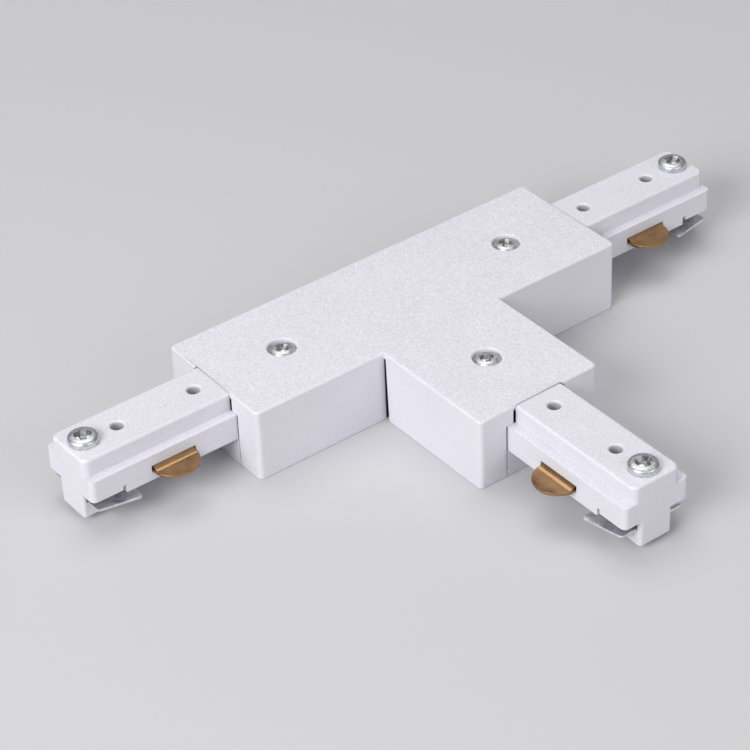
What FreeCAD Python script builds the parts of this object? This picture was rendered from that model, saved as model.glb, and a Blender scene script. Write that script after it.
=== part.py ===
import FreeCAD, Part
import Sketcher
import math
import os

# T connector for a lighting track: a T-shaped housing with three identical plug arms.
# Sizes are in millimetres. +Z is up, the bar runs along X and the stem points to -Y.
# The origin lies on the underside, where the centre lines of bar and stem cross.

SIZES = [
    ("bar_length", 104.8, "housing bar, from end wall to end wall"),
    ("branch_width", 34.0, "width of the bar and of the stem"),
    ("stem_reach", 34.2, "stem end wall, out from the bar's front wall"),
    ("top_step", 0.3, "housing top over the arm tops"),
    ("wall", 1.6, "housing side walls"),
    ("roof", 1.5, "housing top plate"),
    ("corner_radius", 1.2, "outer upright corners of the housing"),
    ("top_radius", 0.6, "rounding of the housing's top edge"),
    ("slit_top", 0.6, "slit at the inner corner, width under the roof"),
    ("slit_bottom", 1.1, "slit at the inner corner, width at the rim"),
    ("slit_cover", 1.3, "material left over the slit"),
    ("bar_pillar_gap", 1.6, "pillar to an earth strip, in the bar"),
    ("stem_pillar_gap", 0.4, "pillar to the earth strip, in the stem"),
    ("recess_radius", 3.4, "recess round a cover screw head"),
    ("recess_depth", 1.6, "depth of that recess"),
    ("recess_round", 0.4, "rounded rim of that recess"),
    ("boss_radius", 4.2, "housing boss under a cover screw"),
    ("boss_drop", 2.0, "housing boss, down from the roof"),
    ("hold_rib", 1.0, "thickness of the ribs that hold an arm down"),
    ("base_thickness", 1.4, "base plate"),
    ("base_gap", 0.15, "base plate to housing wall, each side"),
    ("pillar_radius", 3.0, "base pillar that takes a cover screw"),
    ("pilot_depth", 9.0, "screw hole in a pillar"),
    ("rail_width", 1.6, "base rails under an arm"),
    ("lug_length", 3.0, "base lugs that lock an arm lengthwise"),
    ("lug_width", 2.3, "base lugs, outwards"),
    ("lug_rise", 2.6, "base lugs, over the seam"),
    ("lug_at", 7.5, "middle of the lugs, in from the end wall"),
    ("lug_gap", 0.2, "lug to the sides of its notch"),
    ("notch_depth", 1.25, "notch in the flange for a lug"),
    ("arm_length", 38.5, "arm, out from the end wall"),
    ("arm_root", 14.0, "arm, in from the end wall's outer face"),
    ("block_height", 4.3, "arm top block, over the flange"),
    ("root_drop", 1.4, "step down of the arm top inside the housing"),
    ("ledge", 2.45, "arm flange, out past the top block"),
    ("body_flange", 4.5, "flange of the arm body, over the seam"),
    ("tail_cover", 2.15, "arm flange, out past the contact tails"),
    ("cover_thickness", 2.2, "arm cover, under the seam"),
    ("track_grip", 1.3, "clamp plate, when slack, to the arm cover"),
    ("tip_rise", 1.1, "flange underside at the tip, over the cover's underside"),
    ("tip_length", 7.9, "where the arm body comes down over the seam, in from the tip"),
    ("tip_gap", 0.9, "arm cover end to that step"),
    ("foot_width", 9.0, "foot under the tip"),
    ("foot_lift", 1.7, "foot underside, over the housing's underside"),
    ("foot_floor", 3.6, "foot, from its underside to the floor of its window"),
    ("foot_wall", 1.0, "end walls of the foot's window"),
    ("block_edge", 0.7, "rounded top edges of the top block"),
    ("block_corner", 1.8, "upright corners of the top block"),
    ("flange_corner", 1.3, "upright corners of the flange"),
    ("foot_corner", 0.8, "upright corners of the foot"),
    ("block_gap", 0.7, "end wall opening beside the top block"),
    ("flange_gap", 0.25, "end wall opening beside the flange"),
    ("opening_corner", 1.0, "end wall opening, cut upper corners"),
    ("opening_gap", 0.2, "end wall opening over the arm"),
    ("pin_near", 5.0, "first pin, out from the end wall"),
    ("pin_far_inset", 13.2, "second pin, in from the arm tip"),
    ("pin_radius", 1.45, "cover pins"),
    ("pin_mouth", 0.5, "rounded mouth of a pin hole"),
    ("pin_fit", 0.05, "pin in its hole, radial"),
    ("pin_recess", 3.5, "pin top, down from the arm top"),
    ("contact_thickness", 0.6, "brass contacts"),
    ("contact_middle", 17.1, "middle of a contact leaf"),
    ("leaf_radius", 5.75, "rounded leaf of a contact"),
    ("leaf_out", 0.15, "centre of a long leaf, out from the flange's side"),
    ("leaf_in", 2.0, "centre of a short leaf, in from the flange's side"),
    ("slot_height", 1.7, "slot over the seam for the contacts"),
    ("slot_gap", 0.15, "metal strip to its channel, each side"),
    ("strip_gap", 1.2, "earth strip to a contact tail"),
    ("tail_width", 3.0, "contact tail and bus strips"),
    ("tail_reach", 5.0, "contact tail, in past the arm's root"),
    ("earth_half", 2.8, "half the width of an earth strip"),
    ("earth_thickness", 0.5, "earth strips"),
    ("earth_leg", 0.3, "upright leg of an earth strip, past the root"),
    ("earth_leg_height", 3.6, "top of that leg, over the seam"),
    ("bus_thickness", 0.8, "bus strips"),
    ("bus_end_gap", 0.2, "bus strip end to the arm's root"),
    ("earth_bus_half", 4.6, "half the width of the earth bus"),
    ("earth_bus_inset", 0.2, "earth bus end to the arm's root"),
    ("bus_hole_gap", 0.4, "earth bus to a pillar, radial"),
    ("post_at", 16.0, "bus posts, out from the crossing"),
    ("post_length", 3.0, "bus posts along the strip"),
    ("post_width", 1.4, "bus posts across the strip"),
    ("insulator_size", 9.0, "side of the sheet between crossing strips"),
    ("lock_inset", 4.5, "lock screw, in from the arm tip"),
    ("lock_head_radius", 3.5, "lock screw head"),
    ("lock_head_height", 2.1, "lock screw head"),
    ("lock_shank_radius", 1.75, "lock screw thread, outside"),
    ("lock_head_round", 1.3, "rounding of the lock screw head's top edge"),
    ("lock_cross_reach", 1.9, "lock screw recess, half its span"),
    ("lock_cross_half", 0.45, "lock screw recess, half the width of its bars"),
    ("lock_cross_depth", 1.4, "lock screw recess"),
    ("lock_length", 14.0, "lock screw under the head"),
    ("lock_fit", 0.08, "lock screw in the arm, radial"),
    ("thread_fit", 0.05, "lock screw in the clamp plate, radial"),
    ("clear_gap", 0.3, "lock screw to the earth strip, radial"),
    ("cover_head_radius", 2.9, "cover screw head"),
    ("cover_head_height", 1.7, "cover screw head"),
    ("cover_shank_radius", 1.45, "cover screw thread, outside"),
    ("cover_head_round", 1.1, "rounding of the cover screw head's top edge"),
    ("cover_cross_reach", 1.6, "cover screw recess, half its span"),
    ("cover_cross_half", 0.38, "cover screw recess, half the width of its bars"),
    ("cover_cross_depth", 1.2, "cover screw recess"),
    ("screw_point", 0.4, "chamfer at the end of a screw"),
    ("cover_length", 9.5, "cover screw under the head"),
    ("cover_fit", 0.3, "cover screw in the housing, radial"),
    ("pilot_fit", 0.05, "cover screw in its pillar, radial"),
    ("clamp_thickness", 0.6, "clamp plate"),
    ("clamp_reach", 11.8, "clamp plate rear edge, in from the arm tip"),
    ("clamp_rear_half", 10.9, "half width at the rear edge"),
    ("clamp_tip_half", 8.8, "half width at the front edge"),
    ("clamp_gap", 0.25, "clamp plate to the foot"),
    ("clamp_corner", 0.8, "rounded corners of the wings"),
]

# Levels over the underside and places along an arm follow from the sizes above.
CLAMP_REST = "( foot_lift + foot_floor )"
FLANGE_BOTTOM = f"( {CLAMP_REST} + clamp_thickness + track_grip )"
TIP_BOTTOM = f"( {FLANGE_BOTTOM} + tip_rise )"
SEAM = f"( {FLANGE_BOTTOM} + cover_thickness )"
FLANGE_TOP = f"( {SEAM} + body_flange )"
ARM_TOP = f"( {FLANGE_TOP} + block_height )"
HOUSING_TOP = f"( {ARM_TOP} + top_step )"
PILLAR_TOP = f"( {HOUSING_TOP} - roof - boss_drop )"
EARTH_RISE = f"( {SEAM} + earth_leg_height )"
TIP_START = "( arm_length - tip_length )"
LOCK_PLACE = "( arm_length - lock_inset )"
PIN_PLACES = ("pin_near", "( arm_length - pin_far_inset )")

TAIL_INNER = "( earth_half + strip_gap )"
FLANGE_HALF = f"( {TAIL_INNER} + tail_width + tail_cover )"
BLOCK_HALF = f"( {FLANGE_HALF} - ledge )"
ARM_BACK = "( arm_root + earth_leg + earth_thickness )"

# Cutting shapes run this far past the solid that they cut.
PAST = "1"

ENDS = ("left", "right", "stem")
SIDES = (1, -1)
SIDE_NAMES = {
    ("left", 1): "front",
    ("left", -1): "back",
    ("right", 1): "back",
    ("right", -1): "front",
    ("stem", 1): "right",
    ("stem", -1): "left",
}
LONG_LEAF_SIDE = {"left": 1, "right": -1, "stem": -1}
OUTWARD = {
    "left": FreeCAD.Vector(-1, 0, 0),
    "right": FreeCAD.Vector(1, 0, 0),
    "stem": FreeCAD.Vector(0, -1, 0),
}
CROSS_TURN = {"left": 18.0, "right": 40.0, "stem": 65.0}

doc = FreeCAD.newDocument("track_connector")
sheet = doc.addObject("Spreadsheet::Sheet", "Sizes")
for row, (name, number, note) in enumerate(SIZES, start=1):
    sheet.set(f"A{row}", name)
    sheet.set(f"B{row}", str(number))
    sheet.set(f"C{row}", note)
    sheet.setAlias(f"B{row}", name)
doc.recompute()

parts = []


def named(text):
    """Turns bare size names in a formula into references to the sheet."""
    words = []
    for word in text.replace("(", "( ").replace(")", " )").split():
        words.append("Sizes." + word if word[0].isalpha() else word)
    return " ".join(words)


def value(text):
    return float(sheet.evalExpression(named(text)))


def bind(thing, attribute, text):
    thing.setExpression(attribute, named(text))


def new_body(label):
    body = doc.addObject("PartDesign::Body", label)
    body.Label = label
    parts.append(body)
    return body


def new_sketch(body, role="XY_Plane", level="0"):
    """A sketch on one of the body's own planes, lifted along that plane's normal."""
    plane = next(f for f in body.Origin.OriginFeatures if f.Role == role)
    sketch = body.newObject("Sketcher::SketchObject", body.Label + "_sketch")
    sketch.AttachmentSupport = (plane, [""])
    sketch.MapMode = "FlatFace"
    if level != "0":
        bind(sketch, "AttachmentOffset.Base.z", level)
    return sketch


def fix_point(sketch, geometry, point, place):
    """Ties one point of a sketch to the sketch's origin by two formulas."""
    for kind, text in zip(("DistanceX", "DistanceY"), place):
        number = value(text)
        index = sketch.addConstraint(Sketcher.Constraint(kind, -1, 1, geometry, point, number))
        label = f"{kind}_{index}"
        sketch.renameConstraint(index, label)
        bind(sketch, f"Constraints.{label}", text)


def draw_outline(sketch, places):
    """A closed outline of straight lines through the given pairs of formulas."""
    corners = [FreeCAD.Vector(value(x), value(y), 0) for x, y in places]
    first = sketch.GeometryCount
    count = len(corners)
    for i in range(count):
        sketch.addGeometry(Part.LineSegment(corners[i], corners[(i + 1) % count]), False)
    for i in range(count):
        joined = Sketcher.Constraint("Coincident", first + i, 2, first + (i + 1) % count, 1)
        sketch.addConstraint(joined)
    for i in range(count):
        fix_point(sketch, first + i, 1, places[i])


def draw_rectangle(sketch, x0, x1, y0, y1):
    draw_outline(sketch, [(x0, y0), (x1, y0), (x1, y1), (x0, y1)])


def draw_circle(sketch, x, y, radius):
    middle = FreeCAD.Vector(value(x), value(y), 0)
    circle = Part.Circle(middle, FreeCAD.Vector(0, 0, 1), value(radius))
    index = sketch.addGeometry(circle, False)
    fix_point(sketch, index, 3, (x, y))
    size = sketch.addConstraint(Sketcher.Constraint("Radius", index, value(radius)))
    sketch.renameConstraint(size, f"Radius_{size}")
    bind(sketch, f"Constraints.Radius_{size}", radius)


def pad(body, sketch, length, symmetric=False):
    feature = body.newObject("PartDesign::Pad", body.Label + "_pad")
    feature.Profile = sketch
    if symmetric:
        feature.SideType = "Symmetric"
    bind(feature, "Length", length)
    doc.recompute()
    return feature


def pocket(body, sketch, length, symmetric=False, along_normal=False):
    """Cuts against the sketch's normal, or along it, and makes sure that something went."""
    before = body.Shape.Volume
    feature = body.newObject("PartDesign::Pocket", body.Label + "_pocket")
    feature.Profile = sketch
    if symmetric:
        feature.SideType = "Symmetric"
    feature.Reversed = along_normal
    bind(feature, "Length", length)
    doc.recompute()
    if body.Shape.Volume > before - 1e-6:
        raise ValueError(f"{body.Label}: a cut removed nothing")
    return feature


def round_edges(body, test, radius):
    """Rounds the edges of the body's last feature that the test picks."""
    base = body.Tip
    picked = [f"Edge{i}" for i, edge in enumerate(base.Shape.Edges, start=1) if test(edge)]
    if not picked:
        raise ValueError(f"{body.Label}: no edge to round")
    feature = body.newObject("PartDesign::Fillet", body.Label + "_fillet")
    feature.Base = (base, picked)
    bind(feature, "Radius", radius)
    doc.recompute()
    return feature


def is_upright(edge):
    box = edge.BoundBox
    return box.XLength < 1e-6 and box.YLength < 1e-6 and box.ZLength > 1e-3


def at_end(end, out, across):
    """Formulas for a place given outwards from an end wall and across the arm."""
    if end == "left":
        return f"( -1 * bar_length / 2 ) - ( {out} )", f"-1 * ( {across} )"
    if end == "right":
        return f"bar_length / 2 + ( {out} )", across
    return across, f"( -1 * branch_width / 2 ) - stem_reach - ( {out} )"


def end_rectangle(sketch, end, out0, out1, across0, across1):
    corners = ((out0, across0), (out1, across0), (out1, across1), (out0, across1))
    draw_outline(sketch, [at_end(end, out, across) for out, across in corners])


def screw_place(end):
    gap = "stem_pillar_gap" if end == "stem" else "bar_pillar_gap"
    return at_end(end, f"-1 * ( {ARM_BACK} + {gap} + pillar_radius )", "0")


def draw_tee(sketch, inset):
    """The T outline of the housing, drawn in by an inset all round."""
    end = f"( bar_length / 2 - ( {inset} ) )"
    half = f"( branch_width / 2 - ( {inset} ) )"
    stem = f"( branch_width / 2 + stem_reach - ( {inset} ) )"
    draw_outline(sketch, [
        (f"-1 * {end}", half), (f"-1 * {end}", f"-1 * {half}"),
        (f"-1 * {half}", f"-1 * {half}"), (f"-1 * {half}", f"-1 * {stem}"),
        (half, f"-1 * {stem}"), (half, f"-1 * {half}"),
        (end, f"-1 * {half}"), (end, half),
    ])


def place_at_end(body, end, height="0", turned_over=False):
    """Sets a piece drawn along +X on its arm, at a height."""
    x, y = at_end(end, "0", "0")
    bind(body, "Placement.Base.x", x)
    bind(body, "Placement.Base.y", y)
    bind(body, "Placement.Base.z", height)
    up = FreeCAD.Vector(0, 0, 1)
    along = FreeCAD.Rotation(OUTWARD[end], up.cross(OUTWARD[end]), up)
    over = FreeCAD.Rotation(FreeCAD.Vector(1, 0, 0), 180.0 if turned_over else 0.0)
    body.Placement.Rotation = along.multiply(over)


def make_housing():
    """The cover: a T-shaped shell, open below, with stepped openings for the arms."""
    body = new_body("housing")
    outline = new_sketch(body)
    draw_tee(outline, "0")
    pad(body, outline, HOUSING_TOP)
    half = value("branch_width / 2")

    def outer_corner(edge):
        place = edge.CenterOfMass
        inner = abs(abs(place.x) - half) < 1e-3 and abs(place.y + half) < 1e-3
        return is_upright(edge) and not inner

    round_edges(body, outer_corner, "corner_radius")
    top = value(HOUSING_TOP)
    round_edges(body, top_edge_of(top), "top_radius")

    hollow = new_sketch(body)
    draw_tee(hollow, "wall")
    pocket(body, hollow, f"{HOUSING_TOP} - roof", along_normal=True)
    cut_arm_openings(body)

    # A narrow wedge parts the stem's side walls from the bar's front wall.
    slit = new_sketch(body, "YZ_Plane")
    front = "-1 * branch_width / 2"
    slit_height = f"{HOUSING_TOP} - slit_cover"
    draw_outline(slit, [
        (front, f"-1 * {PAST}"), (front, slit_height),
        (f"( {front} ) - slit_top", slit_height), (f"( {front} ) - slit_bottom", f"-1 * {PAST}"),
    ])
    pocket(body, slit, "branch_width + wall", symmetric=True)

    # Bosses meet the base pillars, and ribs hold each arm's flange down.
    roof_overlap = "roof / 2"
    bosses = new_sketch(body, level=PILLAR_TOP)
    for end in ENDS:
        draw_circle(bosses, *screw_place(end), "boss_radius")
    pad(body, bosses, f"boss_drop + {roof_overlap}")
    ribs = new_sketch(body, level=FLANGE_TOP)
    for end in ENDS:
        for side in SIDES:
            near = f"{side} * ( {BLOCK_HALF} + block_gap )"
            far = f"{side} * ( {BLOCK_HALF} + block_gap + hold_rib )"
            end_rectangle(ribs, end, "slot_gap - arm_root", "-1 * ( wall + block_gap )", near, far)
    pad(body, ribs, f"{HOUSING_TOP} - roof - {FLANGE_TOP} + {roof_overlap}")

    recesses = new_sketch(body, level=HOUSING_TOP)
    holes = new_sketch(body, level=HOUSING_TOP)
    for end in ENDS:
        draw_circle(recesses, *screw_place(end), "recess_radius")
        draw_circle(holes, *screw_place(end), "cover_shank_radius + cover_fit")
    pocket(body, recesses, "recess_depth")
    round_edges(body, rim_of(top, value("recess_radius")), "recess_round")
    pocket(body, holes, HOUSING_TOP)
    return body


def cut_arm_openings(body):
    """Stepped notches in the end walls that follow the arm's section with a small gap."""
    high = f"{ARM_TOP} + opening_gap"
    step = FLANGE_TOP
    narrow = f"( {BLOCK_HALF} + block_gap )"
    broad = f"( {FLANGE_HALF} + flange_gap )"
    below = f"-1 * {PAST}"
    section = [
        (f"-1 * {broad}", below), (broad, below), (broad, step), (narrow, step),
        (narrow, f"{high} - opening_corner"), (f"{narrow} - opening_corner", high),
        (f"-1 * {narrow} + opening_corner", high), (f"-1 * {narrow}", f"{high} - opening_corner"),
        (f"-1 * {narrow}", step), (f"-1 * {broad}", step),
    ]
    depth = "wall + flange_gap"
    walls = (
        ("YZ_Plane", "-1 * bar_length / 2", True),
        ("YZ_Plane", "bar_length / 2", False),
        ("XZ_Plane", "branch_width / 2 + stem_reach", False),
    )
    for role, level, along_normal in walls:
        notch = new_sketch(body, role, level)
        draw_outline(notch, section)
        pocket(body, notch, depth, along_normal=along_normal)


def make_base_plate():
    """The T-shaped floor, with pillars for the screws and seats for the arms and strips."""
    body = new_body("base_plate")
    outline = new_sketch(body)
    draw_tee(outline, "wall + base_gap")
    pad(body, outline, "base_thickness")

    seats = new_sketch(body)
    lugs = new_sketch(body)
    flange_half = FLANGE_HALF
    for end in ENDS:
        tongue = f"( {flange_half} + flange_gap - base_gap )"
        end_rectangle(seats, end, "-1 * ( 2 * wall )", "0", f"-1 * {tongue}", tongue)
        for side in SIDES:
            outer = f"{side} * ( {flange_half} - notch_depth - lug_gap )"
            inner = f"{side} * ( {flange_half} - notch_depth - lug_gap - rail_width )"
            end_rectangle(seats, end, "slot_gap - arm_root", "-1 * ( 3 * wall )", inner, outer)
            near = f"{side} * ( {flange_half} - notch_depth + lug_gap )"
            far = f"{side} * ( {flange_half} - notch_depth + lug_gap + lug_width )"
            back, front = "-1 * ( lug_at + lug_length / 2 )", "-1 * ( lug_at - lug_length / 2 )"
            end_rectangle(lugs, end, back, front, near, far)
    pad(body, seats, FLANGE_BOTTOM)
    pad(body, lugs, f"{SEAM} + lug_rise")

    pillars = new_sketch(body)
    for end in ENDS:
        draw_circle(pillars, *screw_place(end), "pillar_radius")
    pad(body, pillars, PILLAR_TOP)
    pilots = new_sketch(body, level=PILLAR_TOP)
    for end in ENDS:
        draw_circle(pilots, *screw_place(end), "cover_shank_radius + pilot_fit")
    pocket(body, pilots, "pilot_depth")

    # Low posts carry the rear bus, higher ones carry the front bus.
    strip = f"( {TAIL_INNER} + tail_width / 2 )"
    low = new_sketch(body)
    high = new_sketch(body)
    for x in ("-1 * post_at", "post_at"):
        draw_post(low, x, strip, along_x=True)
        draw_post(high, x, f"-1 * {strip}", along_x=True)
    draw_post(low, strip, "-1 * post_at", along_x=False)
    draw_post(high, f"-1 * {strip}", "-1 * post_at", along_x=False)
    pad(body, low, f"{SEAM} - bus_thickness")
    pad(body, high, f"{SEAM} + contact_thickness")
    return body


def draw_post(sketch, x, y, along_x):
    sizes = ("post_length", "post_width") if along_x else ("post_width", "post_length")
    wide, deep = sizes
    draw_rectangle(sketch, f"{x} - {wide} / 2", f"{x} + {wide} / 2",
                   f"{y} - {deep} / 2", f"{y} + {deep} / 2")


def draw_lug_notches(sketch):
    """Notches on both sides of an arm's root for the base lugs."""
    for side in SIDES:
        near = f"{side} * ( {FLANGE_HALF} - notch_depth )"
        far = f"{side} * ( {FLANGE_HALF} + {PAST} )"
        half = "( lug_length / 2 + lug_gap )"
        draw_rectangle(sketch, f"-1 * ( lug_at + {half} )", f"-1 * ( lug_at - {half} )", near, far)


def make_arm_body(end):
    """The upper moulding of an arm, with its foot, slots and screw hole."""
    body = new_body(f"arm_body_{end}")
    tip = value("arm_length")
    flange = new_sketch(body, "XZ_Plane")
    draw_outline(flange, [
        ("-1 * arm_root", SEAM), (TIP_START, SEAM), (TIP_START, TIP_BOTTOM),
        ("arm_length", TIP_BOTTOM), ("arm_length", FLANGE_TOP), ("-1 * arm_root", FLANGE_TOP),
    ])
    pad(body, flange, f"2 * {FLANGE_HALF}", symmetric=True)
    round_edges(body, tip_corner_of(tip, value(FLANGE_HALF)), "flange_corner")

    block = new_sketch(body, "XZ_Plane")
    step = "-1 * ( wall + flange_gap )"
    draw_outline(block, [
        ("-1 * arm_root", FLANGE_TOP), ("arm_length", FLANGE_TOP), ("arm_length", ARM_TOP),
        (step, ARM_TOP), (step, f"{ARM_TOP} - root_drop"), ("-1 * arm_root", f"{ARM_TOP} - root_drop"),
    ])
    pad(body, block, f"2 * {BLOCK_HALF}", symmetric=True)
    round_edges(body, tip_corner_of(tip, value(BLOCK_HALF)), "block_corner")
    top, rear_end = value(ARM_TOP), value(step)

    def top_edge(edge):
        return top_edge_of(top)(edge) and edge.CenterOfMass.x > rear_end + 1e-3

    round_edges(body, top_edge, "block_edge")

    foot = new_sketch(body, "XZ_Plane")
    draw_rectangle(foot, TIP_START, "arm_length", "foot_lift", TIP_BOTTOM)
    pad(body, foot, "foot_width", symmetric=True)
    round_edges(body, tip_corner_of(tip, value("foot_width / 2")), "foot_corner")
    window = new_sketch(body, "XZ_Plane")
    rear = f"{TIP_START} + foot_wall"
    draw_rectangle(window, rear, "arm_length - foot_wall", CLAMP_REST, TIP_BOTTOM)
    pocket(body, window, f"foot_width + {PAST}", symmetric=True)

    holes = new_sketch(body)
    for place in PIN_PLACES:
        draw_circle(holes, place, "0", "pin_radius + pin_fit")
    draw_circle(holes, LOCK_PLACE, "0", "lock_shank_radius + lock_fit")
    pocket(body, holes, HOUSING_TOP, along_normal=True)
    round_edges(body, rim_of(top, value("pin_radius + pin_fit")), "pin_mouth")

    channels = new_sketch(body, level=SEAM)
    root = f"-1 * arm_root - {PAST}"
    for side in SIDES:
        inner = f"{side} * ( {TAIL_INNER} - slot_gap )"
        outer = f"{side} * ( {TAIL_INNER} + tail_width + slot_gap )"
        open_side = f"{side} * ( {FLANGE_HALF} + {PAST} )"
        start = "contact_middle - leaf_radius - slot_gap"
        stop = "contact_middle + leaf_radius + slot_gap"
        draw_outline(channels, [
            (root, inner), (stop, inner), (stop, open_side),
            (start, open_side), (start, outer), (root, outer),
        ])
    half = "( earth_half + slot_gap )"
    draw_rectangle(channels, root, TIP_START, f"-1 * {half}", half)
    pocket(body, channels, "slot_height", along_normal=True)

    gate = new_sketch(body, level=TIP_BOTTOM)
    draw_rectangle(gate, f"{TIP_START} - {PAST}", f"{rear} + slot_gap", f"-1 * {half}", half)
    pocket(body, gate, "earth_thickness + slot_gap")

    notches = new_sketch(body)
    draw_lug_notches(notches)
    pocket(body, notches, HOUSING_TOP, along_normal=True)
    place_at_end(body, end)
    return body


def top_edge_of(level):
    """Picks the edges that lie flat at this level."""
    return lambda edge: edge.BoundBox.ZMin > level - 1e-3


def rim_of(level, radius):
    """Picks the whole circles of this radius that lie flat at this level."""
    def test(edge):
        box = edge.BoundBox
        return edge.Closed and box.ZMin > level - 1e-3 and abs(box.XLength - 2 * radius) < 1e-2
    return test


def tip_corner_of(tip, half):
    """Picks the upright edges at the arm tip that lie at this half width."""
    def test(edge):
        place = edge.CenterOfMass
        return is_upright(edge) and abs(place.x - tip) < 1e-3 and abs(abs(place.y) - half) < 1e-3
    return test


def make_arm_cover(end):
    """The lower plate of an arm, with two pins up into the arm body."""
    body = new_body(f"arm_cover_{end}")
    plate = new_sketch(body, level=FLANGE_BOTTOM)
    half = FLANGE_HALF
    draw_rectangle(plate, "-1 * arm_root", f"{TIP_START} - tip_gap", f"-1 * {half}", half)
    pad(body, plate, f"{SEAM} - {FLANGE_BOTTOM}")
    notches = new_sketch(body)
    draw_lug_notches(notches)
    pocket(body, notches, HOUSING_TOP, along_normal=True)
    pins = new_sketch(body, level=FLANGE_BOTTOM)
    for place in PIN_PLACES:
        draw_circle(pins, place, "0", "pin_radius")
    pad(body, pins, f"{ARM_TOP} - pin_recess - {FLANGE_BOTTOM}")
    place_at_end(body, end)
    return body


def make_contact(end, side):
    """A brass blank: a long tail with a round leaf, long for one pole and short for the other."""
    body = new_body(f"contact_{end}_{SIDE_NAMES[end, side]}")
    start = "contact_middle - leaf_radius"
    stop = "contact_middle + leaf_radius"
    root = "-1 * ( arm_root + tail_reach )"
    outer = f"{TAIL_INNER} + tail_width"
    reach = "leaf_out" if side == LONG_LEAF_SIDE[end] else "( -1 * leaf_in )"
    edge = f"{FLANGE_HALF} + {reach}"
    places = [(stop, edge), (stop, TAIL_INNER), (root, TAIL_INNER),
              (root, outer), (start, outer), (start, edge)]
    blank = new_sketch(body)
    corners = [FreeCAD.Vector(value(x), value(y), 0) for x, y in places]
    for first, second in zip(corners, corners[1:]):
        blank.addGeometry(Part.LineSegment(first, second), False)
    middle = FreeCAD.Vector(value("contact_middle"), value(edge), 0)
    round_edge = Part.Circle(middle, FreeCAD.Vector(0, 0, 1), value("leaf_radius"))
    arc = blank.addGeometry(Part.ArcOfCircle(round_edge, 0, math.pi), False)
    for i in range(len(corners) - 2):
        blank.addConstraint(Sketcher.Constraint("Coincident", i, 2, i + 1, 1))
    blank.addConstraint(Sketcher.Constraint("Coincident", arc, 1, 0, 1))
    blank.addConstraint(Sketcher.Constraint("Coincident", arc, 2, arc - 1, 2))
    fix_point(blank, arc, 3, ("contact_middle", edge))
    for i in range(1, len(corners) - 1):
        fix_point(blank, i, 1, places[i])
    fix_point(blank, 0, 1, places[0])
    index = blank.addConstraint(Sketcher.Constraint("DistanceY", -1, 1, arc - 1, 2, value(edge)))
    blank.renameConstraint(index, "leaf_edge")
    bind(blank, "Constraints.leaf_edge", edge)
    pad(body, blank, "contact_thickness")
    # Every tail lies in the same plane, so the blank on one side is turned over.
    if side > 0:
        place_at_end(body, end, SEAM)
    else:
        place_at_end(body, end, f"{SEAM} + contact_thickness", turned_over=True)
    return body


def make_earth_strip(end):
    """A folded strip from the lock screw back along the arm, then up to the earth bus."""
    body = new_body(f"earth_strip_{end}")
    side_view = new_sketch(body, "XZ_Plane")
    leg_out = f"-1 * {ARM_BACK}"
    leg_in = "-1 * ( arm_root + earth_leg )"
    drop_in = f"{TIP_START} - slot_gap - earth_thickness"
    drop_out = f"{TIP_START} - slot_gap"
    front = "arm_length - foot_wall - clear_gap"
    draw_outline(side_view, [
        (leg_out, SEAM), (leg_out, EARTH_RISE), (leg_in, EARTH_RISE),
        (leg_in, f"{SEAM} + earth_thickness"), (drop_out, f"{SEAM} + earth_thickness"),
        (drop_out, TIP_BOTTOM), (front, TIP_BOTTOM),
        (front, f"{TIP_BOTTOM} - earth_thickness"), (drop_in, f"{TIP_BOTTOM} - earth_thickness"),
        (drop_in, SEAM),
    ])
    pad(body, side_view, "2 * earth_half", symmetric=True)
    holes = new_sketch(body)
    for place in PIN_PLACES:
        draw_circle(holes, place, "0", "pin_radius + clear_gap")
    draw_circle(holes, LOCK_PLACE, "0", "lock_shank_radius + clear_gap")
    pocket(body, holes, HOUSING_TOP, along_normal=True)
    place_at_end(body, end)
    return body


def make_clamp_plate(end):
    """The plate that the lock screw draws up, with a wing on each side of the foot."""
    body = new_body(f"clamp_plate_{end}")
    outline = new_sketch(body, level=CLAMP_REST)
    front = "arm_length - foot_wall - clamp_gap"
    rear = "( arm_length - clamp_reach )"
    inner = f"{TIP_START} + foot_wall + clamp_gap"
    hollow = "( foot_width / 2 + clamp_gap )"
    draw_outline(outline, [
        (front, "-1 * clamp_tip_half"), (front, "clamp_tip_half"),
        (rear, "clamp_rear_half"), (rear, hollow),
        (inner, hollow), (inner, f"-1 * {hollow}"),
        (rear, f"-1 * {hollow}"), (rear, "-1 * clamp_rear_half"),
    ])
    pad(body, outline, "clamp_thickness")
    wide = value(hollow) + 1e-3
    outer = lambda edge: is_upright(edge) and abs(edge.CenterOfMass.y) > wide
    round_edges(body, outer, "clamp_corner")
    hole = new_sketch(body, level=CLAMP_REST)
    draw_circle(hole, LOCK_PLACE, "0", "lock_shank_radius + thread_fit")
    pocket(body, hole, "clamp_thickness", along_normal=True)
    place_at_end(body, end)
    return body


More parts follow.
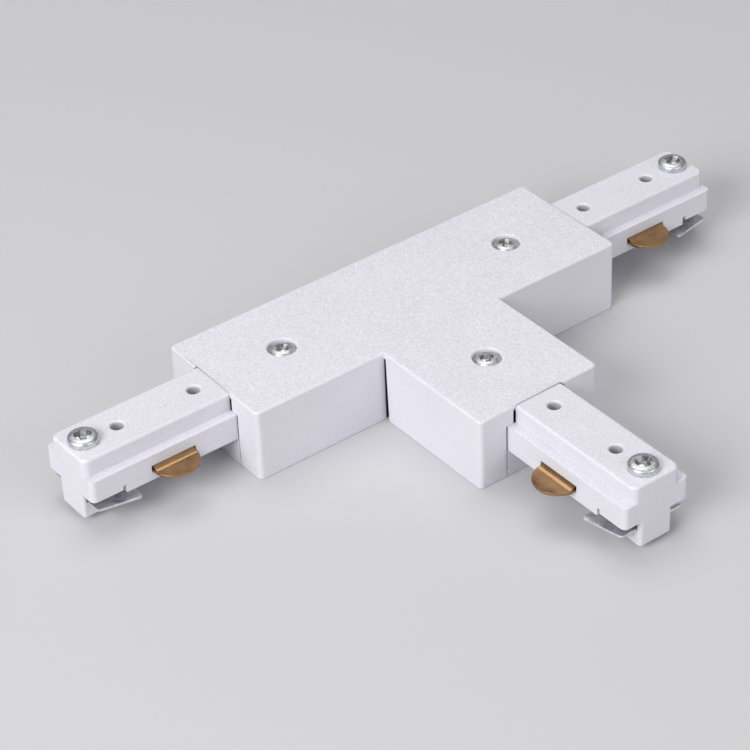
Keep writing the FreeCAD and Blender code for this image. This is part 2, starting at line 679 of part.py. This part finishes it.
def make_screw(label, kind):
    """A pan head screw on its own axis, with the head's seat at zero."""
    body = new_body(label)
    head, height = f"{kind}_head_radius", f"{kind}_head_height"
    shank, length = f"{kind}_shank_radius", f"{kind}_length"
    profile = new_sketch(body, "XZ_Plane")
    draw_outline(profile, [
        ("0", f"-1 * {length}"), (f"{shank} - screw_point", f"-1 * {length}"),
        (shank, f"screw_point - {length}"), (shank, "0"), (head, "0"), (head, height), ("0", height),
    ])
    turned = body.newObject("PartDesign::Revolution", label + "_turned")
    turned.Profile = profile
    turned.ReferenceAxis = (profile, ["V_Axis"])
    turned.Angle = 360.0
    doc.recompute()
    round_edges(body, top_edge_of(value(height)), f"{kind}_head_round")
    # The recess is a cross of two equal bars.
    long, thin = f"{kind}_cross_reach", f"{kind}_cross_half"
    cross = new_sketch(body, level=height)
    draw_outline(cross, [
        (long, f"-1 * {thin}"), (long, thin), (thin, thin), (thin, long),
        (f"-1 * {thin}", long), (f"-1 * {thin}", thin), (f"-1 * {long}", thin),
        (f"-1 * {long}", f"-1 * {thin}"), (f"-1 * {thin}", f"-1 * {thin}"),
        (f"-1 * {thin}", f"-1 * {long}"), (thin, f"-1 * {long}"), (thin, f"-1 * {thin}"),
    ])
    pocket(body, cross, f"{kind}_cross_depth")
    return body


def make_cover_screw(end):
    body = make_screw(f"cover_screw_{end}", "cover")
    x, y = screw_place(end)
    bind(body, "Placement.Base.x", x)
    bind(body, "Placement.Base.y", y)
    bind(body, "Placement.Base.z", f"{HOUSING_TOP} - recess_depth")
    body.Placement.Rotation = FreeCAD.Rotation(FreeCAD.Vector(0, 0, 1), CROSS_TURN[end])
    return body


def make_lock_screw(end):
    body = make_screw(f"lock_screw_{end}", "lock")
    x, y = at_end(end, LOCK_PLACE, "0")
    bind(body, "Placement.Base.x", x)
    bind(body, "Placement.Base.y", y)
    bind(body, "Placement.Base.z", ARM_TOP)
    body.Placement.Rotation = FreeCAD.Rotation(FreeCAD.Vector(0, 0, 1), CROSS_TURN[end] + 25.0)
    return body


def make_bus(label, side, level):
    """A flat strip along one side of the bar, with a branch down the same side of the stem."""
    body = new_body(label)
    near = f"( {side} * {TAIL_INNER} )"
    far = f"( {side} * ( {TAIL_INNER} + tail_width ) )"
    end = "( bar_length / 2 - arm_root - bus_end_gap )"
    foot = "( -1 * ( branch_width / 2 + stem_reach - arm_root - bus_end_gap ) )"
    outline = new_sketch(body, level=level)
    if side > 0:
        draw_outline(outline, [
            (f"-1 * {end}", far), (f"-1 * {end}", near), (near, near), (near, foot),
            (far, foot), (far, near), (end, near), (end, far),
        ])
    else:
        draw_outline(outline, [
            (f"-1 * {end}", near), (f"-1 * {end}", far), (far, far), (far, foot),
            (near, foot), (near, far), (end, far), (end, near),
        ])
    pad(body, outline, "bus_thickness")
    return body


def make_earth_bus():
    """A flat T over the other strips, with a hole for each pillar."""
    body = new_body("earth_bus")
    end = "( bar_length / 2 - arm_root - earth_bus_inset )"
    stem = "( branch_width / 2 + stem_reach - arm_root - earth_bus_inset )"
    half = "earth_bus_half"
    outline = new_sketch(body, level=EARTH_RISE)
    draw_outline(outline, [
        (f"-1 * {end}", half), (f"-1 * {end}", f"-1 * {half}"),
        (f"-1 * {half}", f"-1 * {half}"), (f"-1 * {half}", f"-1 * {stem}"),
        (half, f"-1 * {stem}"), (half, f"-1 * {half}"), (end, f"-1 * {half}"), (end, half),
    ])
    for place in ENDS:
        draw_circle(outline, *screw_place(place), "pillar_radius + bus_hole_gap")
    pad(body, outline, "bus_thickness")
    return body


def make_insulator():
    """The sheet that parts the rear bus from the front bus where they cross."""
    body = new_body("crossing_insulator")
    sheet_outline = new_sketch(body, level=SEAM)
    middle = f"( {TAIL_INNER} + tail_width / 2 )"
    half = "insulator_size / 2"
    draw_rectangle(sheet_outline, f"{middle} - {half}", f"{middle} + {half}",
                   f"-1 * {middle} - {half}", f"-1 * {middle} + {half}")
    pad(body, sheet_outline, "contact_thickness")
    return body


make_housing()
make_base_plate()
for end in ENDS:
    make_cover_screw(end)
    make_arm_body(end)
    make_arm_cover(end)
    for side in SIDES:
        make_contact(end, side)
    make_earth_strip(end)
    make_clamp_plate(end)
    make_lock_screw(end)
make_bus("bus_rear", 1, f"{SEAM} - bus_thickness")
make_bus("bus_front", -1, f"{SEAM} + contact_thickness")
make_earth_bus()
make_insulator()
doc.recompute()

for thing in doc.Objects:
    if "Invalid" in thing.State or "Error" in thing.State:
        raise ValueError(f"{thing.Label}: {thing.State}")
os.makedirs("parts", exist_ok=True)
for body in parts:
    shape = body.Shape
    if shape.isNull() or not shape.isValid() or len(shape.Solids) != 1:
        raise ValueError(f"{body.Label}: not one valid solid")
    shape.exportStep(f"parts/{body.Label}.step")
    print(body.Label, round(shape.Volume, 1))
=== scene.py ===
import math

import bmesh
import bpy
from mathutils import Matrix, Vector


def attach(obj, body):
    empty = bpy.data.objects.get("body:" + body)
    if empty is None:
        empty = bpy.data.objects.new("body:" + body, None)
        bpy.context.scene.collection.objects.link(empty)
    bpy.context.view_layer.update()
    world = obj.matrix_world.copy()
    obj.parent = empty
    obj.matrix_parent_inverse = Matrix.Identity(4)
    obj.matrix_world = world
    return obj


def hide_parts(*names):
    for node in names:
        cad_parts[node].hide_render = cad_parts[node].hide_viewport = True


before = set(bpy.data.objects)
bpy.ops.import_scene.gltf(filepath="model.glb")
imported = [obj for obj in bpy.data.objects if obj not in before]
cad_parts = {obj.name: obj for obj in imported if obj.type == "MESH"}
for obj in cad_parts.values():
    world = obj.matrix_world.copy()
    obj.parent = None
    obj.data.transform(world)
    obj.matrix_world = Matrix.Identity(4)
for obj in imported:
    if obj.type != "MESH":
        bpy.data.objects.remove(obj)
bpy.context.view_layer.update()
MM = 0.001

# Sizes in metres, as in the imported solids.
BAR_HALF = 0.0524      # middle of the bar to its end walls
STEM_END = 0.0512      # middle of the bar to the stem's end wall
HALF_WIDTH = 0.017     # of the bar and the stem
ROOF_INSIDE = 0.01685  # just under the floors of the screw recesses
BASE_TOP = 0.0016      # just over the base plate's sheet
ARM_TOP = 0.0182
LOCK_OUT = 0.034       # lock screw, out from the end wall
HOLE_HALF = 0.0016     # just past the side of an arm's round holes
HOLE_FLOOR = 0.0140    # just under their floors
MARK_OUT = 0.0152      # oblong on an arm's top, out from the end wall

# The middle of each end wall, and the way its arm points.
ENDS = {
    "left": (Vector((-BAR_HALF, 0, 0)), math.pi),
    "right": (Vector((BAR_HALF, 0, 0)), 0.0),
    "stem": (Vector((0, -STEM_END, 0)), -math.pi / 2),
}


# Materials

def shader(name):
    """A new material with its surface shader, its links and a way to add nodes."""
    material = bpy.data.materials.new(name)
    material.use_nodes = True
    nodes, links = material.node_tree.nodes, material.node_tree.links
    surface = nodes["Principled BSDF"]

    def add(kind, **inputs):
        node = nodes.new(kind)
        for key, number in inputs.items():
            node.inputs[key.replace("_", " ")].default_value = number
        return node

    return material, surface, links, add


def ramp(add, source, links, low, high, dark, light):
    """A colour ramp from dark, where the source is low, to light, where it is high."""
    node = add("ShaderNodeValToRGB")
    node.color_ramp.elements[0].position = low
    node.color_ramp.elements[1].position = high
    node.color_ramp.elements[0].color = (*dark, 1)
    node.color_ramp.elements[1].color = (*light, 1)
    links.new(source, node.inputs["Fac"])
    return node


def maths(add, links):
    """A function that adds a math node and gives its output."""

    def math_node(operation, first, second=0.0):
        node = add("ShaderNodeMath")
        node.operation = operation
        for socket, source in zip(node.inputs, (first, second)):
            if isinstance(source, float):
                socket.default_value = source
            else:
                links.new(source, socket)
        return node.outputs[0]

    return math_node


def depth_inside(math_node, x, y, z, low):
    """How far a point lies inside the housing's T outline, in metres, from low to its roof."""
    rounding = 0.002
    wide = math_node("ABSOLUTE", x)

    def in_box(first, second):
        # The rounded corners, near two sides at once, count as outside.
        off_corner = math_node("GREATER_THAN", math_node("MAXIMUM", first, second), rounding)
        return math_node("MULTIPLY", math_node("MINIMUM", first, second), off_corner)

    in_bar = in_box(math_node("SUBTRACT", BAR_HALF, wide),
                    math_node("SUBTRACT", HALF_WIDTH, math_node("ABSOLUTE", y)))
    in_stem = in_box(math_node("SUBTRACT", HALF_WIDTH, wide), math_node("ADD", y, STEM_END))
    behind = math_node("LESS_THAN", y, 0.0)
    depth = math_node("MAXIMUM", in_bar, math_node("MULTIPLY", in_stem, behind))
    between = math_node("MULTIPLY", math_node("GREATER_THAN", z, low),
                        math_node("LESS_THAN", z, ROOF_INSIDE))
    return math_node("MULTIPLY", depth, between)


def depth_in_holes(math_node, x, y, z):
    """How far a point lies below an arm's top, in metres, along the arms' round holes."""
    wide, deep = math_node("ABSOLUTE", x), math_node("ABSOLUTE", y)
    first, last = 0.0005, LOCK_OUT - 0.003

    def on_arm(aside, along, wall):
        span = math_node("MULTIPLY", math_node("GREATER_THAN", along, wall + first),
                         math_node("LESS_THAN", along, wall + last))
        return math_node("MULTIPLY", math_node("LESS_THAN", aside, HOLE_HALF), span)

    on_bar = on_arm(deep, wide, BAR_HALF)
    on_stem = on_arm(wide, deep, STEM_END)
    above = math_node("GREATER_THAN", z, HOLE_FLOOR)
    along = math_node("MULTIPLY", math_node("MAXIMUM", on_bar, on_stem), above)
    return math_node("MULTIPLY", math_node("SUBTRACT", ARM_TOP, z), along)


def plastic(name, colour, grain_top, grain_side, low=0.0003):
    """Moulded plastic: eroded grain on the faces that look up, finer on the sides.

    It has painted shade, near black, inside the housing above low, and darker painted shade down
    the arms' round holes.
    """
    material, surface, links, add = shader(name)
    place = add("ShaderNodeTexCoord")
    split = add("ShaderNodeSeparateXYZ")
    links.new(place.outputs["Normal"], split.inputs[0])
    upward = add("ShaderNodeMapRange", From_Min=0.7, From_Max=0.98,
                 To_Min=grain_side, To_Max=grain_top)
    links.new(split.outputs["Z"], upward.inputs["Value"])

    grain = add("ShaderNodeTexNoise", Scale=2300.0, Detail=3.0, Roughness=0.6)
    links.new(place.outputs["Object"], grain.inputs["Vector"])
    cloud = add("ShaderNodeTexNoise", Scale=55.0, Detail=2.0)
    links.new(place.outputs["Object"], cloud.inputs["Vector"])

    speck = ramp(add, grain.outputs["Fac"], links, 0.30, 0.72,
                 [c * 0.80 for c in colour], [min(1.0, c * 1.08) for c in colour])
    share = add("ShaderNodeMapRange", From_Min=0.7, From_Max=0.98,
                To_Min=0.35, To_Max=1.0)
    links.new(split.outputs["Z"], share.inputs["Value"])
    calm = add("ShaderNodeMix")
    calm.data_type = "RGBA"
    calm.inputs["A"].default_value = (*[c * 0.95 for c in colour], 1)
    links.new(share.outputs["Result"], calm.inputs["Factor"])
    links.new(speck.outputs["Color"], calm.inputs["B"])
    drift = ramp(add, cloud.outputs["Fac"], links, 0.3, 0.7, (0.965, 0.965, 0.97), (1, 1, 1))
    blend = add("ShaderNodeMix")
    blend.data_type = "RGBA"
    blend.blend_type = "MULTIPLY"
    blend.inputs["Factor"].default_value = 1.0
    links.new(calm.outputs["Result"], blend.inputs["A"])
    links.new(drift.outputs["Color"], blend.inputs["B"])
    # Painted shade: surfaces inside the housing's outline are coloured near black, so its gaps look
    # unlit.
    axes = add("ShaderNodeSeparateXYZ")
    links.new(place.outputs["Object"], axes.inputs[0])
    x, y, z = (axes.outputs[axis] for axis in "XYZ")
    math_node = maths(add, links)
    inside_shade_amount = add("ShaderNodeMapRange", From_Min=0.00003, From_Max=0.00015)
    links.new(depth_inside(math_node, x, y, z, low), inside_shade_amount.inputs["Value"])
    inside_painted_shade = add("ShaderNodeMix")
    inside_painted_shade.data_type = "RGBA"
    inside_painted_shade.inputs["B"].default_value = (0.012, 0.012, 0.014, 1)
    links.new(inside_shade_amount.outputs["Result"], inside_painted_shade.inputs["Factor"])
    links.new(blend.outputs["Result"], inside_painted_shade.inputs["A"])
    # Painted shade: the colour turns grey with depth down the arms' round holes.
    sunk = add("ShaderNodeMapRange", From_Min=0.0001, From_Max=0.0010, To_Max=0.50)
    links.new(depth_in_holes(math_node, x, y, z), sunk.inputs["Value"])
    hole = add("ShaderNodeMix")
    hole.data_type = "RGBA"
    hole.inputs["B"].default_value = (0.20, 0.195, 0.21, 1)
    links.new(sunk.outputs["Result"], hole.inputs["Factor"])
    links.new(inside_painted_shade.outputs["Result"], hole.inputs["A"])
    links.new(hole.outputs["Result"], surface.inputs["Base Color"])

    gloss = add("ShaderNodeMapRange", From_Min=0.3, From_Max=0.7, To_Min=0.40, To_Max=0.52)
    links.new(grain.outputs["Fac"], gloss.inputs["Value"])
    links.new(gloss.outputs["Result"], surface.inputs["Roughness"])
    bump = add("ShaderNodeBump", Distance=0.00012)
    links.new(grain.outputs["Fac"], bump.inputs["Height"])
    links.new(upward.outputs["Result"], bump.inputs["Strength"])
    links.new(bump.outputs["Normal"], surface.inputs["Normal"])
    surface.inputs["IOR"].default_value = 1.48
    surface.inputs["Subsurface Weight"].default_value = 0.12
    surface.inputs["Subsurface Radius"].default_value = (1.0, 0.9, 0.85)
    surface.inputs["Subsurface Scale"].default_value = 0.0008
    return material


def metal(name, dark, light, rough, scale, stretch, bump_mm):
    """Metal with a mottled or brushed tone; stretch draws the marks out along X, Y and Z."""
    material, surface, links, add = shader(name)
    place = add("ShaderNodeTexCoord")
    mapping = add("ShaderNodeMapping")
    mapping.inputs["Scale"].default_value = stretch
    links.new(place.outputs["Object"], mapping.inputs["Vector"])
    marks = add("ShaderNodeTexNoise", Scale=scale, Detail=4.0, Roughness=0.62)
    links.new(mapping.outputs["Vector"], marks.inputs["Vector"])
    tone = ramp(add, marks.outputs["Fac"], links, 0.32, 0.68, dark, light)
    links.new(tone.outputs["Color"], surface.inputs["Base Color"])
    gloss = add("ShaderNodeMapRange", From_Min=0.3, From_Max=0.7,
                To_Min=rough * 0.75, To_Max=rough * 1.3)
    links.new(marks.outputs["Fac"], gloss.inputs["Value"])
    links.new(gloss.outputs["Result"], surface.inputs["Roughness"])
    bump = add("ShaderNodeBump", Strength=0.35, Distance=bump_mm * MM)
    links.new(marks.outputs["Fac"], bump.inputs["Height"])
    links.new(bump.outputs["Normal"], surface.inputs["Normal"])
    surface.inputs["Metallic"].default_value = 1.0
    return material


WHITE = (0.80, 0.785, 0.845)
housing_white = plastic("housing_white", WHITE, 0.55, 0.10)
arm_white = plastic("arm_white", (0.79, 0.78, 0.84), 0.30, 0.12)
base_white = plastic("base_white", (0.77, 0.76, 0.81), 0.35, 0.20, low=BASE_TOP)
screw_metal = metal("screw_zinc", (0.56, 0.57, 0.58), (0.82, 0.825, 0.835), 0.38,
                    900, (1, 1, 1), 0.04)
# Painted shade: a darker copy of the screws' zinc for the faces of the cross recess.
recess_shade_metal = metal("recess_zinc_painted_shade", (0.22, 0.23, 0.24), (0.48, 0.49, 0.50), 0.40,
                     1500, (1, 1, 1), 0.03)
plate_metal = metal("plate_zinc", (0.66, 0.66, 0.68), (0.93, 0.93, 0.94), 0.33,
                    700, (1, 1, 1), 0.03)
strip_metal = metal("strip_steel", (0.42, 0.42, 0.44), (0.60, 0.60, 0.62), 0.32,
                    300, (1, 1, 6), 0.01)
leaf_brass = metal("leaf_brass", (0.33, 0.195, 0.095), (0.49, 0.30, 0.148), 0.21,
                   320, (1, 1, 4), 0.012)
bus_metal = metal("bus_brass", (0.58, 0.38, 0.17), (0.78, 0.55, 0.27), 0.34,
                  300, (1, 1, 4), 0.01)
sheet_plastic = plastic("sheet_plastic", (0.74, 0.68, 0.52), 0.10, 0.10)


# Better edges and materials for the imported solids

def soften_edges(node, width, clamp):
    """Round a solid's sharp edges by a width in millimetres."""
    weld = node.modifiers.new("weld", "WELD")
    weld.merge_threshold = 1e-6
    flat = node.modifiers.new("flat", "DECIMATE")
    flat.decimate_type = "DISSOLVE"
    flat.angle_limit = math.radians(0.5)
    bevel = node.modifiers.new("bevel", "BEVEL")
    bevel.width = width * MM
    bevel.segments = 3
    bevel.limit_method = "ANGLE"
    bevel.angle_limit = math.radians(35)
    bevel.use_clamp_overlap = clamp
    bevel.miter_outer = "MITER_ARC"
    smooth = node.modifiers.new("normals", "WEIGHTED_NORMAL")
    smooth.keep_sharp = False
    smooth.weight = 60


def dress(name, material, width, clamp=False):
    """Give a solid its material and, where width isn't 0, soft edges."""
    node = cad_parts[name]
    node.data.materials.clear()
    node.data.materials.append(material)
    if width:
        soften_edges(node, width, clamp)


dress("housing", housing_white, 0.16)
dress("base_plate", base_white, 0.12)
dress("bus_rear", bus_metal, 0)
dress("bus_front", bus_metal, 0)
dress("earth_bus", strip_metal, 0)
dress("crossing_insulator", sheet_plastic, 0)
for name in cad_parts:
    if name.startswith("arm_body"):
        dress(name, arm_white, 0.22, clamp=True)
    elif name.startswith("arm_cover"):
        dress(name, arm_white, 0.18)
    elif name.startswith("contact"):
        dress(name, leaf_brass, 0.07)
    elif name.startswith("clamp_plate"):
        dress(name, plate_metal, 0.06)
    elif name.startswith("earth_strip"):
        dress(name, strip_metal, 0)


# Screws with a domed head, a tapered cross recess and a cut thread

def lathe(rows, count):
    """A closed turned mesh; a row is a height and a function of the angle that gives the radius."""
    mesh = bmesh.new()
    rings = []
    for height, radius in rows:
        ring = []
        for i in range(count):
            angle = 2 * math.pi * i / count
            r = radius(angle)
            ring.append(mesh.verts.new((r * math.cos(angle), r * math.sin(angle), height)))
        rings.append(ring)
    for low, high in zip(rings, rings[1:]):
        for i in range(count):
            j = (i + 1) % count
            mesh.faces.new((low[i], low[j], high[j], high[i]))
    mesh.faces.new(list(reversed(rings[0])))
    mesh.faces.new(rings[-1])
    return mesh


def cross_section(reach, half, neck):
    """Outline of a cross whose four wings narrow a little outwards."""
    corners = [(neck, neck), (half, reach), (-half, reach), (-neck, neck)]
    points = []
    for turn in range(4):
        c, s = round(math.cos(turn * math.pi / 2)), round(math.sin(turn * math.pi / 2))
        points += [(x * c - y * s, x * s + y * c) for x, y in corners[:3]]
    return points


def recess_cutter(reach, half, top, depth):
    """The cross-shaped hole that a driver fits, from over the head down to its depth."""
    mesh = bmesh.new()
    above = 0.0004
    levels = ((top + above, 1.12), (top, 1.0), (top - depth * 0.75, 0.55), (top - depth, 0.25))
    rings = []
    for height, share in levels:
        outline = cross_section(reach * share, half * (0.55 + 0.45 * share),
                                half * (0.9 + 0.5 * share))
        rings.append([mesh.verts.new((x, y, height)) for x, y in outline])
    count = len(rings[0])
    for high, low in zip(rings, rings[1:]):
        for i in range(count):
            j = (i + 1) % count
            mesh.faces.new((high[i], high[j], low[j], low[i]))
    mesh.faces.new(rings[0])
    mesh.faces.new(rings[-1])
    bmesh.ops.recalc_face_normals(mesh, faces=mesh.faces)
    return mesh


def object_of(mesh, name):
    """The finished mesh as an object in the scene."""
    data = bpy.data.meshes.new(name)
    mesh.to_mesh(data)
    mesh.free()
    thing = bpy.data.objects.new(name, data)
    bpy.context.scene.collection.objects.link(thing)
    return thing


def screw(name, node, body, seat, turn, head, height, rim, shank, length, pitch):
    """A pan head screw that stands for its solid, built at the origin and set on its seat."""
    count, crown, shoulder = 72, 0.58, 0.86
    neck, tip = 0.0002, 0.0004
    rows = []
    depth = pitch * 0.32
    steps = int(length / (pitch / 8))
    for k in range(steps + 1):
        z = -length + k * (length - neck) / steps
        point = min(1.0, (z + length) / tip)

        def radius(angle, z=z, point=point):
            phase = (z / pitch - angle / (2 * math.pi)) % 1.0
            ridge = 1 - abs(phase * 2 - 1)
            return shank - depth * (1 - ridge) - (1 - point) * tip

        rows.append((z, radius))
    # The head: a broken lower edge, an upright rim, a dome and its flatter crown.
    for z, r in ((-0.00005, head * 0.97), (0.0, head * 0.985), (0.00012, head), (rim, head)):
        rows.append((z, lambda angle, r=r: r))
    for k in range(1, 13):
        a = k / 12 * math.pi / 2
        r = head * (1 - (1 - crown) * (1 - math.cos(a)))
        z = rim + (height * shoulder - rim) * math.sin(a)
        rows.append((z, lambda angle, r=r: r))
    for k in range(1, 6):
        r = head * crown * (1 - k / 6)
        z = height * (shoulder + (1 - shoulder) * (1 - (1 - k / 6) ** 2))
        rows.append((z, lambda angle, r=r: r))
    thing = object_of(lathe(rows, count), name)
    cutter = object_of(recess_cutter(head * 0.62, head * 0.20, height, height * 0.80),
                       name + "_cutter")
    thing.data.materials.append(screw_metal)
    # The recess faces take the darker zinc as painted shade.
    cutter.data.materials.append(recess_shade_metal)
    cut = thing.modifiers.new("recess", "BOOLEAN")
    cut.material_mode = "TRANSFER"
    cut.operation = "DIFFERENCE"
    cut.solver = "EXACT"
    cut.object = cutter
    bpy.context.view_layer.update()
    graph = bpy.context.evaluated_depsgraph_get()
    done = bpy.data.meshes.new_from_object(thing.evaluated_get(graph))
    thing.modifiers.clear()
    thing.data = done
    bpy.data.objects.remove(cutter)
    for face in done.polygons:
        face.use_smooth = True
    done.transform(Matrix.Translation(seat) @ Matrix.Rotation(turn, 4, "Z"))
    sharp = thing.modifiers.new("edges", "EDGE_SPLIT")
    sharp.split_angle = math.radians(38)
    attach(thing, body)
    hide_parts(node)


COVER_SCREW = {"head": 0.0029, "height": 0.0017, "rim": 0.0006,
               "shank": 0.00145, "length": 0.0095, "pitch": 0.0011}
LOCK_SCREW = {"head": 0.0035, "height": 0.0021, "rim": 0.0009,
              "shank": 0.00175, "length": 0.014, "pitch": 0.0006}
COVER_SEATS = {"left": (-0.033, 0), "right": (0.033, 0), "stem": (0, -0.033)}
COVER_SEAT_HEIGHT = 0.0169
COVER_TURNS = {"left": 18, "right": 40, "stem": 65}
LOCK_TURNS = {"left": 62, "right": 20, "stem": 80}
for end, (wall, turn) in ENDS.items():
    x, y = COVER_SEATS[end]
    screw(f"cover_screw_{end}_dressed", f"cover_screw_{end}", "connector",
          Vector((x, y, COVER_SEAT_HEIGHT)), math.radians(COVER_TURNS[end]), **COVER_SCREW)
    out = Matrix.Rotation(turn, 3, "Z") @ Vector((LOCK_OUT, 0, ARM_TOP))
    screw(f"lock_screw_{end}_dressed", f"lock_screw_{end}", f"lock_screw_{end}", wall + out,
          math.radians(LOCK_TURNS[end]), **LOCK_SCREW)


# The bent root of each contact leaf, which rises to the top of its slot

def leaf_root(name, wall, turn, side, centre):
    """A brass band along an arm's flange, on side +1 or -1, over a leaf with this centre."""
    mesh = bmesh.new()
    flange, radius, middle, inset = 0.00915, 0.00575, 0.0171, 0.0003
    inner, outer, bottom, leaf_top, rise = -0.0004, 0.0015, 0.0098, 0.01002, 0.00098
    profile = []
    for k in range(9):
        t = k / 8
        profile.append((inner + (outer - inner) * t, leaf_top + rise * (1 - t) ** 1.6))
    profile += [(outer, bottom), (inner, bottom)]
    rings = []
    for step in range(17):
        along = step / 8 - 1
        ring = []
        for out, height in profile:
            reach = math.sqrt(radius ** 2 - max(0.0, out - centre) ** 2) - inset
            ring.append(mesh.verts.new((middle + along * reach, side * (flange + out), height)))
        rings.append(ring)
    count = len(profile)
    for low, high in zip(rings, rings[1:]):
        for i in range(count):
            j = (i + 1) % count
            mesh.faces.new((low[i], low[j], high[j], high[i]))
    mesh.faces.new(rings[0])
    mesh.faces.new(rings[-1])
    bmesh.ops.recalc_face_normals(mesh, faces=mesh.faces)
    thing = object_of(mesh, name)
    thing.data.transform(Matrix.Translation(wall) @ Matrix.Rotation(turn, 4, "Z"))
    for face in thing.data.polygons:
        face.use_smooth = True
    thing.modifiers.new("edges", "EDGE_SPLIT").split_angle = math.radians(40)
    thing.data.materials.append(leaf_brass)
    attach(thing, "connector")


LONG_SIDE = {"left": 1, "right": -1, "stem": -1}
LONG_CENTRE, SHORT_CENTRE = 0.00015, -0.002
for end, (wall, turn) in ENDS.items():
    leaf_root(f"leaf_root_{end}_long", wall, turn, LONG_SIDE[end], LONG_CENTRE)
    leaf_root(f"leaf_root_{end}_short", wall, turn, -LONG_SIDE[end], SHORT_CENTRE)


# A plain shallow oblong on each arm's top, between its two holes

def oblong(name, wall, turn):
    """A low pad with round ends, on the arm whose end wall and way are given."""
    mesh = bmesh.new()
    length, half, rise, sunk, aside = 0.0052, 0.0008, 0.00011, 0.0001, 0.0004
    outline = []
    for side in (1, -1):
        for k in range(13):
            a = side * math.pi / 2 - side * k / 12 * math.pi
            outline.append((side * (length / 2 - half + half * math.cos(a)), half * math.sin(a)))
    low = [mesh.verts.new((x, y, -sunk)) for x, y in outline]
    high = [mesh.verts.new((x * 0.985, y * 0.93, rise)) for x, y in outline]
    count = len(low)
    for i in range(count):
        j = (i + 1) % count
        mesh.faces.new((low[i], low[j], high[j], high[i]))
    mesh.faces.new(high)
    mesh.faces.new(list(reversed(low)))
    bmesh.ops.recalc_face_normals(mesh, faces=mesh.faces)
    thing = object_of(mesh, name)
    place = wall + Matrix.Rotation(turn, 3, "Z") @ Vector((MARK_OUT, aside, ARM_TOP))
    thing.data.transform(Matrix.Translation(place) @ Matrix.Rotation(turn, 4, "Z"))
    thing.data.materials.append(arm_white)
    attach(thing, "connector")


for end, (wall, turn) in ENDS.items():
    oblong(f"arm_mark_{end}", wall, turn)


# Floor, light and camera

floor_mesh = bmesh.new()
bmesh.ops.create_grid(floor_mesh, x_segments=1, y_segments=1, size=3.0)
floor = object_of(floor_mesh, "floor")
floor.location.z = -0.05 * MM
floor_paint, floor_surface, floor_links, floor_add = shader("floor_paint")
floor_noise = floor_add("ShaderNodeTexNoise", Scale=3.0, Detail=2.0)
floor_tone = ramp(floor_add, floor_noise.outputs["Fac"], floor_links, 0.2, 0.8,
                  (0.585, 0.585, 0.60), (0.60, 0.60, 0.615))
floor_links.new(floor_tone.outputs["Color"], floor_surface.inputs["Base Color"])
floor_surface.inputs["Roughness"].default_value = 0.9
floor_surface.inputs["Specular IOR Level"].default_value = 0.1
floor.data.materials.append(floor_paint)

world = bpy.data.worlds.new("studio")
world.use_nodes = True
bpy.context.scene.world = world
world_nodes, world_links = world.node_tree.nodes, world.node_tree.links
background = world_nodes["Background"]
direction = world_nodes.new("ShaderNodeTexCoord")
split = world_nodes.new("ShaderNodeSeparateXYZ")
world_links.new(direction.outputs["Generated"], split.inputs[0])
sky = world_nodes.new("ShaderNodeValToRGB")
sky.color_ramp.elements[0].position = 0.0
sky.color_ramp.elements[0].color = (0.30, 0.30, 0.31, 1)
sky.color_ramp.elements[1].position = 0.95
sky.color_ramp.elements[1].color = (0.98, 0.98, 1.0, 1)
middle = sky.color_ramp.elements.new(0.60)
middle.color = (0.36, 0.36, 0.37, 1)
world_links.new(split.outputs["Z"], sky.inputs["Fac"])
world_links.new(sky.outputs["Color"], background.inputs["Color"])
background.inputs["Strength"].default_value = 0.69


def softbox(name, place, width, height, power):
    """A rectangular lamp aimed at the middle of the bar's underside."""
    light = bpy.data.lights.new(name, "AREA")
    light.shape = "RECTANGLE"
    light.size, light.size_y = width, height
    light.energy = power
    lamp = bpy.data.objects.new(name, light)
    lamp.location = place
    lamp.rotation_euler = (-Vector(place)).to_track_quat("-Z", "Y").to_euler()
    bpy.context.scene.collection.objects.link(lamp)


softbox("key", (-0.95, -0.25, 0.62), 0.7, 0.5, 9.9)
softbox("top", (0.1, 0.35, 1.0), 0.8, 0.6, 2.7)
softbox("fill", (0.25, -1.0, 0.55), 0.9, 0.5, 2.8)

# The camera as solved from the photo: its axes, its place and its lens.
camera = bpy.data.objects.new("camera", bpy.data.cameras.new("camera"))
bpy.context.scene.collection.objects.link(camera)
bpy.context.scene.camera = camera
right = Vector((0.79256, -0.60875, -0.03563))
up = Vector((0.38241, 0.45066, 0.80664))
back = Vector((-0.47498, -0.65294, 0.58996))
turned = Matrix((right, up, back)).transposed().to_4x4()
camera.matrix_world = Matrix.Translation((-0.31185, -0.4187, 0.37673)) @ turned
camera.data.sensor_width = 36.0
camera.data.lens = 130.66
camera.data.clip_start = 0.05
camera.data.clip_end = 20.0
bpy.context.scene.view_settings.view_transform = "Standard"
